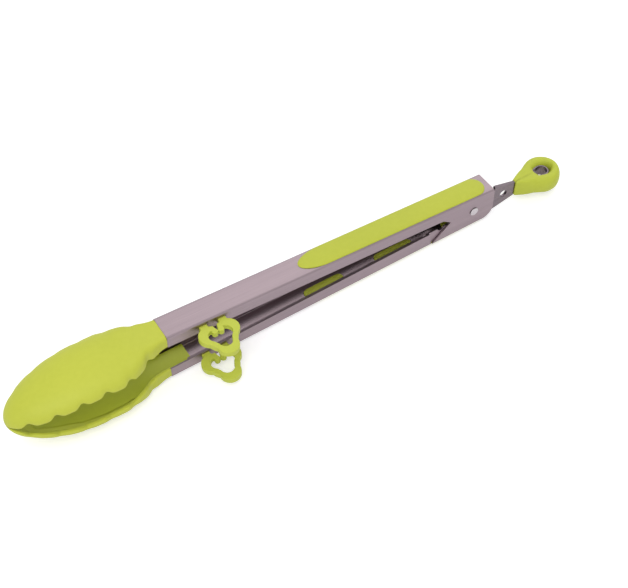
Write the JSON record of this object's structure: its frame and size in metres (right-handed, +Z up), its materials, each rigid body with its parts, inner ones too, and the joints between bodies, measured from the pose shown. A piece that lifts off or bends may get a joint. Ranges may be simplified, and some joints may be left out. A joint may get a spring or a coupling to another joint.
{
  "type": "kitchen tongs",
  "caption": "Spring loaded kitchen tongs with silicone spoon heads, steel channel arms, grips, clover feet and a pull ring lock",
  "frame": {"origin": "centre of the footprint of the closed tongs, on the surface that the lower arm lies on", "axes": "+X along the lower arm from the heads to the ring, -Y to the side with the foot loops, +Z up from the lower arm to the upper arm"},
  "size_m": [0.3133, 0.0442, 0.0348],
  "materials": {
    "channel_steel": "satin, brushed along the arm",
    "strip_steel": "satin",
    "spring_steel": "drawn wire",
    "rivet_steel": "satin",
    "head_silicone": "matte silicone",
    "head_core": "matte",
    "grip_silicone": "matte silicone",
    "foot_silicone": "matte silicone",
    "ring_silicone": "matte silicone"
  },
  "bodies": {
    "lower_arm": {"lower_arm": "channel_steel", "lower_head": "head_silicone", "lower_head_core": "head_core", "lower_grip": "grip_silicone", "lower_foot": "foot_silicone"},
    "upper_arm": {"upper_arm": "channel_steel", "upper_head": "head_silicone", "upper_head_core": "head_core", "upper_grip": "grip_silicone", "upper_foot": "foot_silicone"},
    "pivot": {"pivot_pin": "rivet_steel", "rivet_spacer": "rivet_steel", "torsion_spring": "spring_steel"},
    "puller": {"pull_strip": "strip_steel", "ring_sleeve": "ring_silicone"}
  },
  "joints": [
    {"name": "arms_open", "type": "hinge", "parent": "lower_arm", "child": "upper_arm", "pos_m": [0.10025, 0.0054, 0.011], "axis": [0, 1, 0], "range_deg": [0, 24], "deforming": ["torsion_spring"]},
    {"name": "pivot_turn", "type": "hinge", "parent": "lower_arm", "child": "pivot", "pos_m": [0.10025, 0.0054, 0.011], "axis": [0, 1, 0], "range_deg": [0, 12]},
    {"name": "ring_pull", "type": "slide", "parent": "pivot", "child": "puller", "axis": [0.9995, 0, -0.0314], "range_m": [-0.012, 0]}
  ],
  "couplings": [
    {"joint": "pivot_turn", "follows": "arms_open", "ratio": 0.5}
  ]
}
